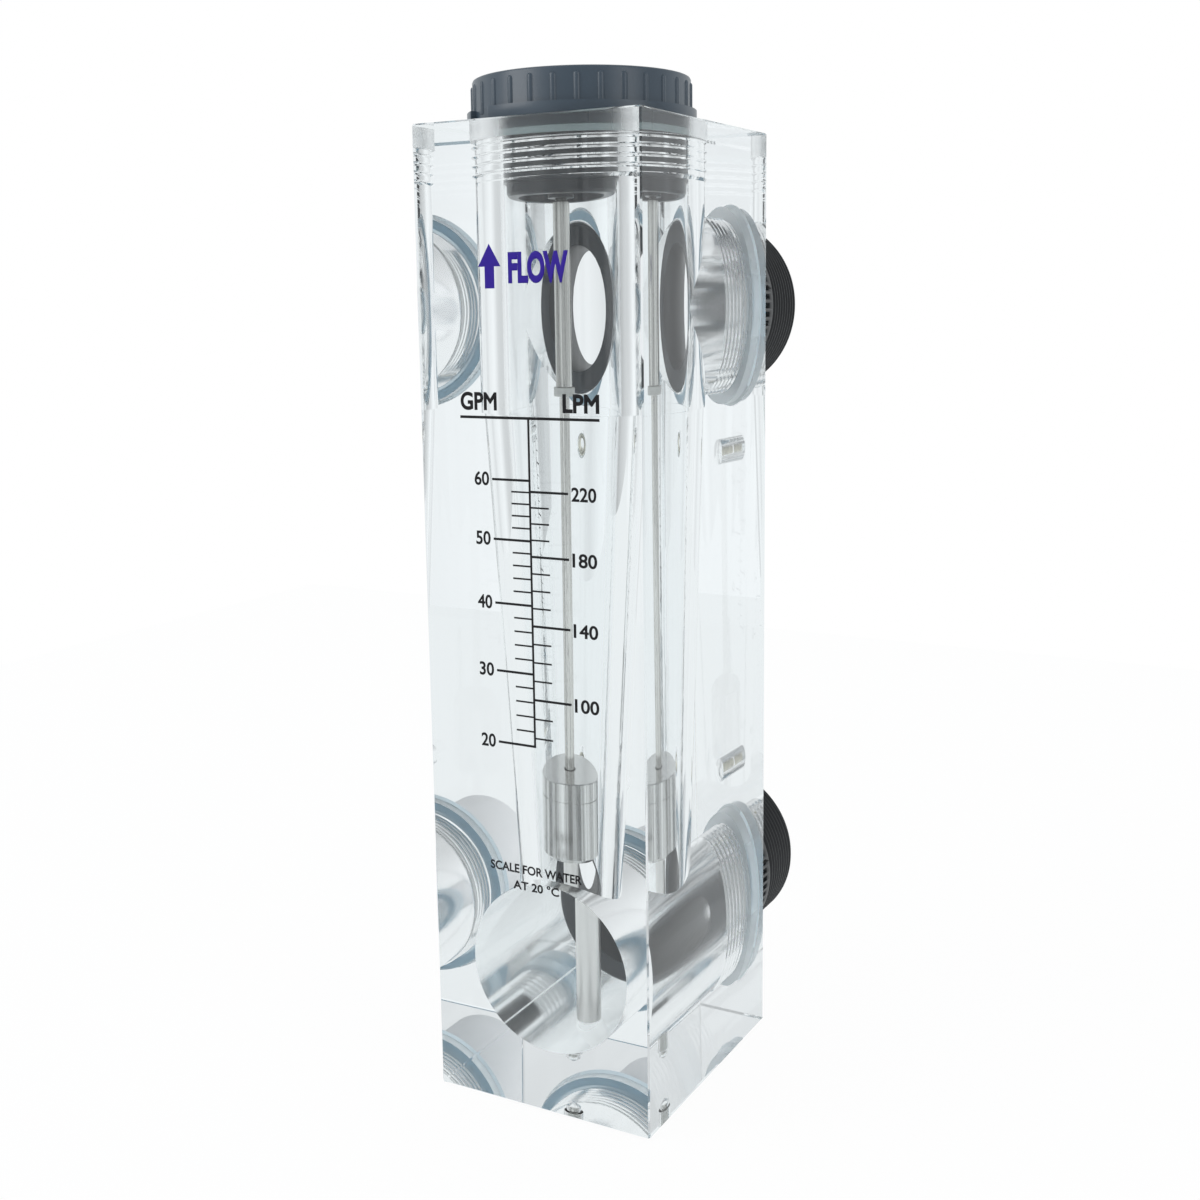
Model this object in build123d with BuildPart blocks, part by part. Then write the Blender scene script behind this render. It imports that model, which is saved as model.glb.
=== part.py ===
from build123d import *
import os

os.makedirs("parts", exist_ok=True)

# Variable-area flow meter in a clear acrylic block.
# Millimetres, +Z up, +Y to the rear. The origin lies on the axis of the
# upright bore, in the underside of the block.

# Clear block
block_width = 75.0
block_height = 300.0
block_front = 35.0          # bore axis to front face
block_back = 53.0           # bore axis to rear face
block_edge = 0.5            # polished chamfer on the outer edges

# One bore and one thread size serve the cap and both connectors
bore_r = 27.4
thread_gap = 0.3            # between a threaded spigot and its bore
fit_gap = 0.05              # running and seating fits, on the radius

# Upright bore, from the top down
cap_recess_r = 28.9
cap_recess_depth = 4.8
ledge_below_port = 30.5     # the chamber ends here and the taper starts
taper_top_r = 26.4
taper_low_r = 15.7          # taper carried down to the lower port's axis

# Ports, side by side on the rear face
upper_port_drop = 54.0      # below the top of the block
lower_port_z = 44.0
port_recess_depth = 6.6
port_mouth = 1.0            # chamfer round each port
front_wall = 10.0           # left in front of the blind lower bore

# Foot of the guide rod, let into the floor of the lower bore
foot_r = 3.5
foot_depth = 6.3
foot_stand = 0.4            # the foot stands this far above the floor
pin_hole_r = 2.6
pin_hole_depth = 2.0
drill_tip = 1.4

# Threaded inserts for the mounting screws, centred between the ports
insert_off_port = 47.0      # from the axis of the nearer port
insert_r = 4.15
insert_length = 7.0
insert_thread_r = 2.5
insert_hole_depth = 9.0
insert_groove = 0.35
insert_sink = 0.2           # below the rear face

# Screwed cap
flange_r = 34.2
flange_thick = 3.5
cap_body_r = 32.5
cap_height = 13.0           # above the block
cap_edge = 0.8
dish_rim = 3.0              # flat rim round the dish in the top
dish_depth = 0.8
rib_count = 30
rib_r = 1.15
rib_proud = 0.5
rib_below_top = 1.6
rib_slope = 0.5
rib_phase = -63.2
notch_count = 2
notch_width = 11.4
notch_phase = -122.5
seal_height = 2.2
shoulder_gap = 0.4
nose_step = 1.3             # the nose is this much smaller than the thread
nose_length = 3.5
spigot_length = 17.6        # from the top of the block down to the nose
under_wall = 5.45           # wall of the nose round its hollow
under_recess_depth = 3.0
boss_r = 6.2

# Guide rod, stop tubes and bumpers
rod_r = 2.4
rod_in_cap = 13.5
rod_hole_spare = 1.0
washer_r = 3.0
washer_thick = 1.0
tube_r = 4.0
bumper_r = 5.05
ring_edge = 0.2             # chamfer on the outer edges of these rings
bumper_height = 2.7
upper_stop_above_ledge = 4.4    # underside of the upper bumper
rest_above_bore = 4.6       # float at rest, above the top of the lower bore

# Float
float_r = 14.6
float_length = 25.7
float_chamfer = 1.5
float_top_edge = 0.3
float_bore_gap = 0.06
float_mouth_r = 3.0
float_mouth_depth = 1.2
band_from_top = 5.8
band_width = 0.4
band_depth = 0.25

# Pipe connectors
connector_bore_r = 20.0
connector_reach = 46.5      # beyond the rear face
connector_setback = 0.6     # inner end, behind the upright bore
collar_gap = 0.5            # between a collar and its recess
collar_reach = 22.0
pocket_count = 66
pocket_width = 1.7
pocket_depth = 1.6
pocket_start = 1.5
pocket_rim = 3.0
pipe_thread_r = 30.15
relief_r = 28.8
relief_length = 1.5
pipe_end_chamfer = 1.5
shank_chamfer = 1.0
connector_bore_edge = 0.8
seal_gap = 0.4              # round the outside of a connector's seal
seal_bore_gap = 0.2
connector_seal_wide = 3.5
connector_seal_thick = 2.4

# Printed scale on the front face
ink = 0.12
scale_mid_x = 0.3
scale_below_ledge = 0.2
header_half = 23.4
header_thick = 0.8
spine_thick = 0.65
major_thick = 0.7
minor_thick = 0.5
major_length = 12.8
minor_length = 6.3
litres_per_gallon = 3.785
scale_zero_drop = 7.5       # no flow, below the float's underside at rest
scale_rise = 0.004898208    # height = zero + taper length * (rise * flow - bend * flow squared)
scale_bend = 0.000003677419

# Heights and radii that follow from the sizes above
upper_port_z = block_height - upper_port_drop
ledge_z = upper_port_z - ledge_below_port
insert_heights = (upper_port_z - insert_off_port, lower_port_z + insert_off_port)
port_recess_r = bore_r + seal_bore_gap + connector_seal_wide + seal_gap
thread_bottom_z = block_height - spigot_length
upper_stop_z = ledge_z + upper_stop_above_ledge
float_rest_z = lower_port_z + bore_r + rest_above_bore
collar_r = port_recess_r - collar_gap
scale_top_z = ledge_z - scale_below_ledge
scale_zero_z = float_rest_z - scale_zero_drop
taper_length = ledge_z - float_rest_z
cap_recess_z = block_height - cap_recess_depth
shoulder_z = cap_recess_z + seal_height
spigot_r = bore_r - thread_gap
nose_r = spigot_r - nose_step
nose_z = thread_bottom_z - nose_length
lower_floor_z = lower_port_z - bore_r
foot_low_z = lower_floor_z - foot_depth
foot_top_z = lower_floor_z + foot_stand
pin_hole_z = foot_low_z - pin_hole_depth
port_recess_y = block_back - port_recess_depth
connector_start_y = bore_r + connector_setback
collar_start_y = port_recess_y + connector_seal_thick
collar_end_y = block_back + collar_reach
thread_start_y = collar_end_y + relief_length
connector_end_y = block_back + connector_reach
float_top_z = float_rest_z + float_length


def port_plane(z):
    """Plane with its X along the port's axis and its Y upwards."""
    return Plane(origin=(0, 0, z), x_dir=(0, 1, 0), z_dir=(1, 0, 0))


def port_axis(z):
    return Axis((0, 0, z), (0, 1, 0))


def rear_plane(y, z):
    """Plane square to the port's axis, facing the rear."""
    return Plane(origin=(0, y, z), x_dir=(1, 0, 0), z_dir=(0, 1, 0))


def flow_height(litres):
    """Height of the mark for a flow in litres a minute."""
    return scale_zero_z + taper_length * (scale_rise * litres - scale_bend * litres ** 2)


# Clear block: upright tapered bore, two ports, foot pocket, insert holes
with BuildPart() as body_block:
    with BuildSketch(Plane.XY) as footprint:
        with Locations((0, (block_back - block_front) / 2)):
            Rectangle(block_width, block_front + block_back)
    extrude(amount=block_height)
    chamfer(body_block.edges(), length=block_edge)

    with BuildSketch(Plane.XZ) as upright_bore:
        with BuildLine():
            Polyline(
                (0, lower_port_z),
                (taper_low_r, lower_port_z),
                (taper_top_r, ledge_z),
                (bore_r, ledge_z),
                (bore_r, cap_recess_z),
                (cap_recess_r, cap_recess_z),
                (cap_recess_r, block_height + port_mouth),
                (0, block_height + port_mouth),
                close=True,
            )
        make_face()
    revolve(axis=Axis.Z, mode=Mode.SUBTRACT)

    for port_z, inner_y in ((upper_port_z, 0), (lower_port_z, front_wall - block_front)):
        with BuildSketch(port_plane(port_z)) as port:
            with BuildLine():
                Polyline(
                    (inner_y, 0),
                    (inner_y, bore_r),
                    (port_recess_y, bore_r),
                    (port_recess_y, port_recess_r),
                    (block_back - port_mouth, port_recess_r),
                    (block_back, port_recess_r + port_mouth),
                    (block_back + port_mouth, port_recess_r + port_mouth),
                    (block_back + port_mouth, 0),
                    close=True,
                )
            make_face()
        revolve(axis=port_axis(port_z), mode=Mode.SUBTRACT)

    with BuildSketch(Plane.XZ) as foot_pocket:
        with BuildLine():
            Polyline(
                (0, lower_port_z),
                (foot_r + fit_gap, lower_port_z),
                (foot_r + fit_gap, foot_low_z),
                (pin_hole_r, foot_low_z),
                (pin_hole_r, pin_hole_z),
                (0, pin_hole_z - drill_tip),
                close=True,
            )
        make_face()
    revolve(axis=Axis.Z, mode=Mode.SUBTRACT)

    for insert_z in insert_heights:
        with BuildSketch(port_plane(insert_z)) as insert_hole:
            with BuildLine():
                Polyline(
                    (block_back - insert_hole_depth - drill_tip, 0),
                    (block_back - insert_hole_depth, insert_r + fit_gap),
                    (block_back + port_mouth, insert_r + fit_gap),
                    (block_back + port_mouth, 0),
                    close=True,
                )
            make_face()
        revolve(axis=port_axis(insert_z), mode=Mode.SUBTRACT)
body_block.part.label = "body_block"
export_step(body_block.part, "parts/body_block.step")


# Cap: turned body with its flange, then the flange's notches and the bead ribs
with BuildPart() as top_cap:
    with BuildSketch(Plane.XZ) as cap_profile:
        with BuildLine():
            Polyline(
                (0, nose_z + rod_in_cap + rod_hole_spare),
                (rod_r + fit_gap, nose_z + rod_in_cap + rod_hole_spare),
                (rod_r + fit_gap, nose_z),
                (boss_r, nose_z),
                (boss_r, nose_z + under_recess_depth),
                (nose_r - under_wall, nose_z + under_recess_depth),
                (nose_r - under_wall, nose_z),
                (nose_r - cap_edge, nose_z),
                (nose_r, nose_z + cap_edge),
                (nose_r, thread_bottom_z),
                (spigot_r, thread_bottom_z),
                (spigot_r, shoulder_z),
                (cap_recess_r - shoulder_gap, shoulder_z),
                (cap_recess_r - shoulder_gap, block_height),
                (flange_r, block_height),
                (flange_r, block_height + flange_thick),
                (cap_body_r, block_height + flange_thick),
                (cap_body_r, block_height + cap_height - cap_edge),
                (cap_body_r - cap_edge, block_height + cap_height),
                (cap_body_r - dish_rim, block_height + cap_height),
                (cap_body_r - dish_rim - dish_depth, block_height + cap_height - dish_depth),
                (0, block_height + cap_height - dish_depth),
                close=True,
            )
        make_face()
    revolve(axis=Axis.Z)

    with BuildSketch(Plane.XY.offset(block_height)) as notches:
        with PolarLocations(flange_r, notch_count, start_angle=notch_phase):
            Rectangle(2 * (flange_r - cap_body_r), notch_width)
    extrude(amount=flange_thick, mode=Mode.SUBTRACT)

    # each rib starts inside the flange and ends in a sloped top
    rib_circle_r = cap_body_r + rib_proud - rib_r
    rib_low_z = block_height + flange_thick / 2
    rib_shoulder_z = block_height + cap_height - rib_below_top - rib_slope
    with BuildSketch(Plane.XY.offset(rib_low_z)) as ribs:
        with PolarLocations(rib_circle_r, rib_count, start_angle=rib_phase):
            Circle(rib_r)
    extrude(amount=rib_shoulder_z - rib_low_z)
    with BuildSketch(Plane.XY.offset(rib_shoulder_z)) as rib_tops:
        with PolarLocations(rib_circle_r, rib_count, start_angle=rib_phase):
            Circle(rib_r)
    extrude(amount=rib_slope, taper=45)
top_cap.part.label = "top_cap"
export_step(top_cap.part, "parts/top_cap.step")


# Seal ring pressed between the cap's shoulder and the floor of its recess
with BuildPart() as cap_seal:
    with BuildSketch(Plane.XY.offset(cap_recess_z)):
        Circle(cap_recess_r - thread_gap)
        Circle(spigot_r + fit_gap, mode=Mode.SUBTRACT)
    extrude(amount=seal_height)
cap_seal.part.label = "cap_seal"
export_step(cap_seal.part, "parts/cap_seal.step")


# Straight guide rod with pointed ends, from the foot pocket into the cap
with BuildPart() as guide_rod:
    with BuildSketch(Plane.XY.offset(pin_hole_z + fit_gap)):
        Circle(rod_r)
    extrude(amount=nose_z + rod_in_cap - pin_hole_z - fit_gap)
    chamfer(guide_rod.edges().group_by(Axis.Z)[0], length=0.3 * rod_r)
    chamfer(guide_rod.edges().group_by(Axis.Z)[-1], length=0.3 * rod_r)
guide_rod.part.label = "guide_rod"
export_step(guide_rod.part, "parts/guide_rod.step")


# Plain rings and tubes threaded on the rod, from the top down
upper_tube_z = upper_stop_z + bumper_height
washer_z = nose_z - washer_thick
lower_bumper_z = float_rest_z - bumper_height
rings = (
    ("rod_washer", washer_r, washer_z, nose_z),
    ("upper_stop_tube", tube_r, upper_tube_z, washer_z),
    ("upper_bumper", bumper_r, upper_stop_z, upper_tube_z),
    ("lower_bumper", bumper_r, lower_bumper_z, float_rest_z),
    ("lower_stop_tube", tube_r, foot_top_z, lower_bumper_z),
    ("rod_foot", foot_r, foot_low_z, foot_top_z),
)
for ring_name, ring_r, low_z, high_z in rings:
    with BuildPart() as ring:
        with BuildSketch(Plane.XY.offset(low_z)):
            Circle(ring_r)
            Circle(rod_r + fit_gap, mode=Mode.SUBTRACT)
        extrude(amount=high_z - low_z)
        outer_edges = ring.faces().filter_by(GeomType.CYLINDER).sort_by(SortBy.RADIUS)[-1].edges()
        chamfer(outer_edges.filter_by(GeomType.CIRCLE), length=ring_edge)
    ring.part.label = ring_name
    export_step(ring.part, f"parts/{ring_name}.step")


# Turned float: chamfered foot, reading band at the top, relieved mouth
with BuildPart() as float_body:
    with BuildSketch(Plane.XZ) as float_profile:
        with BuildLine():
            band_z = float_top_z - band_from_top
            float_bore_r = rod_r + float_bore_gap
            Polyline(
                (float_bore_r, float_rest_z),
                (float_r - float_chamfer, float_rest_z),
                (float_r, float_rest_z + float_chamfer),
                (float_r, band_z - band_width),
                (float_r - band_depth, band_z - band_width),
                (float_r - band_depth, band_z),
                (float_r, band_z),
                (float_r, float_top_z - float_top_edge),
                (float_r - float_top_edge, float_top_z),
                (float_mouth_r, float_top_z),
                (float_mouth_r, float_top_z - float_mouth_depth),
                (float_bore_r, float_top_z - float_mouth_depth),
                close=True,
            )
        make_face()
    revolve(axis=Axis.Z)
float_body.part.label = "float"
export_step(float_body.part, "parts/float.step")


# Pipe connectors: shank, ribbed hand collar, relief and pipe thread
pocket_length = collar_reach - pocket_start - pocket_rim
for connector_name, port_z in (("upper_connector", upper_port_z), ("lower_connector", lower_port_z)):
    with BuildPart() as connector:
        with BuildSketch(port_plane(port_z)) as connector_profile:
            with BuildLine():
                Polyline(
                    (connector_start_y, connector_bore_r),
                    (connector_start_y, spigot_r - shank_chamfer),
                    (connector_start_y + shank_chamfer, spigot_r),
                    (collar_start_y, spigot_r),
                    (collar_start_y, collar_r),
                    (collar_end_y, collar_r),
                    (collar_end_y, relief_r),
                    (thread_start_y, relief_r),
                    (thread_start_y, pipe_thread_r),
                    (connector_end_y - pipe_end_chamfer, pipe_thread_r),
                    (connector_end_y, pipe_thread_r - pipe_end_chamfer),
                    (connector_end_y, connector_bore_r + connector_bore_edge),
                    (connector_end_y - connector_bore_edge, connector_bore_r),
                    close=True,
                )
            make_face()
        revolve(axis=port_axis(port_z))
        with BuildSketch(rear_plane(block_back + pocket_start, port_z)) as pockets:
            with PolarLocations(collar_r, pocket_count):
                Rectangle(2 * pocket_depth, pocket_width)
        extrude(amount=pocket_length, mode=Mode.SUBTRACT)
    connector.part.label = connector_name
    export_step(connector.part, f"parts/{connector_name}.step")

    with BuildPart() as connector_seal:
        with BuildSketch(rear_plane(port_recess_y, port_z)):
            Circle(port_recess_r - seal_gap)
            Circle(bore_r + seal_bore_gap, mode=Mode.SUBTRACT)
        extrude(amount=connector_seal_thick)
    connector_seal.part.label = connector_name + "_seal"
    export_step(connector_seal.part, f"parts/{connector_name}_seal.step")


# Brass inserts for the mounting screws, each with a gripping groove
for insert_name, insert_z in zip(("upper_mount_insert", "lower_mount_insert"), insert_heights):
    insert_outer_y = block_back - insert_sink
    insert_inner_y = insert_outer_y - insert_length
    groove_from = insert_inner_y + 0.4 * insert_length
    groove_to = insert_inner_y + 0.6 * insert_length
    with BuildPart() as insert:
        with BuildSketch(port_plane(insert_z)) as insert_profile:
            with BuildLine():
                Polyline(
                    (insert_inner_y, insert_thread_r),
                    (insert_inner_y, insert_r - insert_groove),
                    (insert_inner_y + insert_groove, insert_r),
                    (groove_from, insert_r),
                    (groove_from + insert_groove, insert_r - insert_groove),
                    (groove_to - insert_groove, insert_r - insert_groove),
                    (groove_to, insert_r),
                    (insert_outer_y, insert_r),
                    (insert_outer_y, insert_thread_r),
                    close=True,
                )
            make_face()
        revolve(axis=port_axis(insert_z))
    insert.part.label = insert_name
    export_step(insert.part, f"parts/{insert_name}.step")


# Scale: header, spine, gallon marks to the left and litre marks to the right
front_plane = Plane(origin=(scale_mid_x, -block_front, 0), x_dir=(1, 0, 0), z_dir=(0, -1, 0))
marks = []
for gallons in range(20, 61, 2):
    marks.append((-1, gallons * litres_per_gallon, gallons % 10 == 0))
for litres in range(80, 221, 10):
    marks.append((1, litres, litres % 40 == 20))
spine_low_z = flow_height(20 * litres_per_gallon) - major_thick / 2

with BuildPart() as scale_marks:
    with BuildSketch(front_plane):
        with Locations((0, scale_top_z)):
            Rectangle(2 * header_half, header_thick)
        with Locations((0, (scale_top_z + spine_low_z) / 2)):
            Rectangle(spine_thick, scale_top_z - spine_low_z)
        for side, litres, major in marks:
            length = major_length if major else minor_length
            with Locations((side * length / 2, flow_height(litres))):
                Rectangle(length, major_thick if major else minor_thick)
    extrude(amount=ink)
scale_marks.part.label = "scale_marks"
export_step(scale_marks.part, "parts/scale_marks.step")
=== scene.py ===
import math
import bpy
from mathutils import Matrix, Vector


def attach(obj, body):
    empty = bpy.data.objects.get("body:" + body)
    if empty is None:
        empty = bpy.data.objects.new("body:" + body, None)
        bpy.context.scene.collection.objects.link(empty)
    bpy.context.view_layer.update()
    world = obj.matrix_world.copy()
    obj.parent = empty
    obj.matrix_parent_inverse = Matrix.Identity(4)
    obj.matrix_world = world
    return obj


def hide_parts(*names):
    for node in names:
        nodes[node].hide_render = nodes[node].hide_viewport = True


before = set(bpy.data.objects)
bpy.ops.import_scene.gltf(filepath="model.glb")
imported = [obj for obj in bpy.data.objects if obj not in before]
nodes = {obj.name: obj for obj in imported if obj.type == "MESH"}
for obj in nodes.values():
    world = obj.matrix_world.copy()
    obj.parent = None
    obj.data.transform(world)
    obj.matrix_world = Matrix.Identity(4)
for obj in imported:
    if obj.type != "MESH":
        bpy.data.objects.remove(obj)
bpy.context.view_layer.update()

mm = 0.001
weld = 0.002 * mm           # points this close become one
print("frame loaded,", len(nodes), "nodes")

# the camera, placed by a fit to the block's corners

view = {
    "place": (0.227981, -0.408805, 0.248419),
    "yaw": 29.280,          # degrees, to the left of straight ahead
    "pitch": 9.557,         # down
    "roll": -0.8815,
    "lens": 45.4827,
    "shift": (0.0124, -0.0364),
}


def aimedCamera():
    yaw, pitch, roll = (math.radians(view[k]) for k in ("yaw", "pitch", "roll"))
    ahead = Vector((-math.sin(yaw) * math.cos(pitch), math.cos(yaw) * math.cos(pitch), -math.sin(pitch)))
    level = Vector((math.cos(yaw), math.sin(yaw), 0))
    above = level.cross(ahead)
    right = level * math.cos(roll) + above * math.sin(roll)
    up = above * math.cos(roll) - level * math.sin(roll)
    bpy.ops.object.select_all(action="DESELECT")
    bpy.ops.object.camera_add()
    camera = bpy.context.object
    turn = Matrix((right, up, -ahead)).transposed().to_4x4()
    camera.matrix_world = Matrix.Translation(view["place"]) @ turn
    camera.data.lens = view["lens"]
    camera.data.shift_x, camera.data.shift_y = view["shift"]
    camera.data.clip_start, camera.data.clip_end = 0.01, 50
    bpy.context.scene.camera = camera


aimedCamera()
print("camera set")


# small helpers for modelling

def pickOnly(piece):
    if bpy.context.object and bpy.context.object.mode != "OBJECT":
        bpy.ops.object.mode_set(mode="OBJECT")
    bpy.ops.object.select_all(action="DESELECT")
    piece.select_set(True)
    bpy.context.view_layer.objects.active = piece


def drawChain(name, points):
    # a chain of edges in the XZ plane, pulled out of one vertex; points are (radius, height) in mm
    bpy.ops.object.select_all(action="DESELECT")
    bpy.ops.mesh.primitive_plane_add(size=mm)
    piece = bpy.context.object
    piece.name = piece.data.name = name
    bpy.ops.object.mode_set(mode="EDIT")
    bpy.ops.mesh.merge(type="CENTER")
    spots = [Vector((r * mm, 0, z * mm)) for r, z in points]
    bpy.ops.transform.translate(value=spots[0])
    for here, there in zip(spots, spots[1:]):
        bpy.ops.mesh.extrude_vertices_move(TRANSFORM_OT_translate={"value": there - here})
    return piece


def settle(piece):
    # in edit mode: joins doubles and turns every face outwards
    bpy.ops.mesh.select_all(action="SELECT")
    bpy.ops.mesh.remove_doubles(threshold=weld)
    bpy.ops.mesh.normals_make_consistent(inside=False)
    bpy.ops.object.mode_set(mode="OBJECT")
    return piece


def turned(name, points, steps=128):
    # a turned piece about Z; the outline closes by itself unless both ends lie on the axis
    onAxis = points[0][0] == 0 and points[-1][0] == 0
    piece = drawChain(name, list(points) if onAxis else list(points) + [points[0]])
    bpy.ops.mesh.select_all(action="SELECT")
    bpy.ops.mesh.remove_doubles(threshold=weld)
    bpy.ops.mesh.spin(steps=steps, angle=math.tau, center=(0, 0, 0), axis=(0, 0, 1))
    return settle(piece)


def screwed(name, thread):
    # a solid screw about Z, cut square at its low and high ends
    pitch, low, high = thread["pitch"], thread["low"], thread["high"]
    middle, tip, root = pitch / 2, thread["tip"] / 2, thread["root"] / 2
    first = thread["start"] + pitch * math.floor((low - thread["start"]) / pitch - 1)
    chain = [(thread["minor"], first), (thread["minor"], first + root),
             (thread["major"], first + middle - tip), (thread["major"], first + middle + tip),
             (thread["minor"], first + pitch - root), (thread["minor"], first + pitch)]
    piece = drawChain(name, chain)
    bpy.ops.object.mode_set(mode="OBJECT")
    pickOnly(piece)
    screw = piece.modifiers.new("screw", "SCREW")
    screw.axis, screw.angle, screw.screw_offset = "Z", math.tau, pitch * mm
    screw.steps = screw.render_steps = thread["steps"]
    screw.iterations = math.ceil((high - first) / pitch) + 1
    screw.use_merge_vertices, screw.merge_threshold = True, weld
    bpy.ops.object.modifier_apply(modifier=screw.name)
    bpy.ops.object.mode_set(mode="EDIT")
    bpy.ops.mesh.select_all(action="SELECT")
    bpy.ops.mesh.remove_doubles(threshold=weld)
    for height, keep in ((low, "above"), (high, "below")):
        bpy.ops.mesh.select_all(action="SELECT")
        bpy.ops.mesh.bisect(plane_co=(0, 0, height * mm), plane_no=(0, 0, 1), use_fill=True,
                            clear_inner=keep == "above", clear_outer=keep == "below")
    return settle(piece)


def layAlongY(piece, height):
    # lays a piece made about Z along the port's axis, at that height
    piece.rotation_euler = (-math.pi / 2, 0, 0)
    piece.location = (0, 0, height * mm)
    return applyPlace(piece)


def applyPlace(piece):
    pickOnly(piece)
    bpy.ops.object.transform_apply(location=True, rotation=True, scale=True)
    return piece


def combine(piece, tool, how):
    pickOnly(piece)
    step = piece.modifiers.new(how.lower(), "BOOLEAN")
    step.operation, step.solver, step.object = how, "EXACT", tool
    step.material_mode = "TRANSFER"
    bpy.ops.object.modifier_apply(modifier=step.name)
    bpy.data.objects.remove(tool, do_unlink=True)
    return piece


def carve(piece, tools):
    # cuts all the tools away in one step, so that no rounding comes between the cuts
    group = bpy.data.collections.new("cutters")
    for tool in tools:
        group.objects.link(tool)
    pickOnly(piece)
    step = piece.modifiers.new("carve", "BOOLEAN")
    step.operation, step.solver, step.operand_type, step.collection = "DIFFERENCE", "EXACT", "COLLECTION", group
    step.material_mode = "TRANSFER"
    bpy.ops.object.modifier_apply(modifier=step.name)
    for tool in tools:
        bpy.data.objects.remove(tool, do_unlink=True)
    bpy.data.collections.remove(group)
    return piece


def copied(piece, name):
    pickOnly(piece)
    bpy.ops.object.duplicate(linked=False)
    twin = bpy.context.object
    twin.name = twin.data.name = name
    return twin


def aroundZ(piece, count, phase):
    # the piece and its copies, each with its own mesh, spread round the Z axis
    ring = [piece] + [copied(piece, piece.name) for _ in range(count - 1)]
    for index, item in enumerate(ring):
        item.rotation_euler = (0, 0, math.radians(phase) + math.tau * index / count)
        applyPlace(item)
    return ring


def boxOf(name, low, high):
    bpy.ops.object.select_all(action="DESELECT")
    middle = [(a + b) / 2 * mm for a, b in zip(low, high)]
    bpy.ops.mesh.primitive_cube_add(size=1, location=middle, scale=[(b - a) * mm for a, b in zip(low, high)])
    piece = bpy.context.object
    piece.name = piece.data.name = name
    return applyPlace(piece)


def eased(piece, width, segments=2, degrees=40):
    # rounds the edges that turn by more than so many degrees
    pickOnly(piece)
    step = piece.modifiers.new("eased", "BEVEL")
    step.width, step.segments = width * mm, segments
    step.limit_method, step.angle_limit = "ANGLE", math.radians(degrees)
    bpy.ops.object.modifier_apply(modifier=step.name)
    return piece


def joined(name, pieces):
    pickOnly(pieces[0])
    for piece in pieces:
        piece.select_set(True)
    bpy.ops.object.join()
    pieces[0].name = pieces[0].data.name = name
    return pieces[0]


def smooth(piece, degrees=32):
    pickOnly(piece)
    bpy.ops.object.shade_smooth_by_angle(angle=math.radians(degrees))
    return piece


# shader arithmetic

class Wire:
    # one output of a node tree that takes part in plain arithmetic
    def __init__(self, tree, socket):
        self.tree, self.socket = tree, socket

    def maths(self, operation, *values):
        node = self.tree.nodes.new("ShaderNodeMath")
        node.operation = operation
        for socket, value in zip(node.inputs, values):
            if isinstance(value, Wire):
                self.tree.links.new(value.socket, socket)
            else:
                socket.default_value = value
        return Wire(self.tree, node.outputs[0])

    def __add__(self, other): return self.maths("ADD", self, other)
    def __radd__(self, other): return self.maths("ADD", other, self)
    def __mul__(self, other): return self.maths("MULTIPLY", self, other)
    def __rmul__(self, other): return self.maths("MULTIPLY", other, self)
    def __truediv__(self, other): return self.maths("DIVIDE", self, other)
    def __gt__(self, other): return self.maths("GREATER_THAN", self, other)
    def __or__(self, other): return self.maths("MAXIMUM", self, other)


class Finish:
    # a material or world and the one way in which its nodes are made
    def __init__(self, name=None, tree=None, **fixed):
        if tree is None:
            self.material = bpy.data.materials.new(name)
            self.material.use_nodes = True
            tree = self.material.node_tree
            self.shader = tree.nodes["Principled BSDF"]
            for key, value in fixed.items():
                self.shader.inputs[key.replace("_", " ")].default_value = value
        self.tree = tree

    def link(self, wire, socket):
        self.tree.links.new(wire.socket, socket)

    def node(self, kind, settings=None, values=None, out=0):
        node = self.tree.nodes.new(kind)
        for key, value in (settings or {}).items():
            if key == "stops":
                ramp = node.color_ramp.elements
                while len(ramp) < len(value):
                    ramp.new(1)
                for stop, (place, colour) in zip(ramp, value):
                    stop.position, stop.color = place, colour
            else:
                setattr(node, key, value)
        for key, value in (values or {}).items():
            if isinstance(value, Wire):
                self.link(value, node.inputs[key])
            else:
                node.inputs[key].default_value = value
        return Wire(self.tree, node.outputs[out])

    def place(self, scale=(1, 1, 1)):
        spot = self.node("ShaderNodeTexCoord", out="Object")
        return self.node("ShaderNodeMapping", values={"Vector": spot, "Scale": scale})

    def noise(self, scale, detail=4, stretch=(1, 1, 1), rough=0.55):
        return self.node("ShaderNodeTexNoise", values={"Vector": self.place(stretch), "Scale": scale,
                                                       "Detail": detail, "Roughness": rough})

    def blend(self, factor, first, second):
        return self.node("ShaderNodeMix", {"data_type": "RGBA"}, {0: factor, 6: first, 7: second}, out=2)

    def wear(self, wire, socket):
        self.link(wire, self.shader.inputs[socket])

    def bump(self, height, strength, depth):
        raised = self.node("ShaderNodeBump", values={"Strength": strength, "Distance": depth, "Height": height})
        self.wear(raised, "Normal")


def rgb(red, green, blue):
    return (red, green, blue, 1)


# finishes

acrylic = {
    "tint": rgb(0.965, 0.985, 0.99),
    "index": 1.49,
    "polished": 0.0,
    "machined": 0.12,
    "sanded": 0.34,
}


def clearFinish(name, roughness, marks):
    finish = Finish(name, Base_Color=acrylic["tint"], IOR=acrylic["index"], Transmission_Weight=1.0,
                    Roughness=roughness)
    if marks:
        rings = finish.noise(900, detail=3, stretch=(0.02, 1, 0.02))
        finish.wear(roughness * (0.5 + 1.0 * rings), "Roughness")
        finish.bump(rings, 0.1, 0.00002)
    else:
        cloud = finish.noise(9, detail=1)
        deeper = rgb(*(c - 0.012 for c in acrylic["tint"][:3]))
        finish.wear(finish.blend(cloud, deeper, acrylic["tint"]), "Base Color")
    return finish.material


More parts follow.
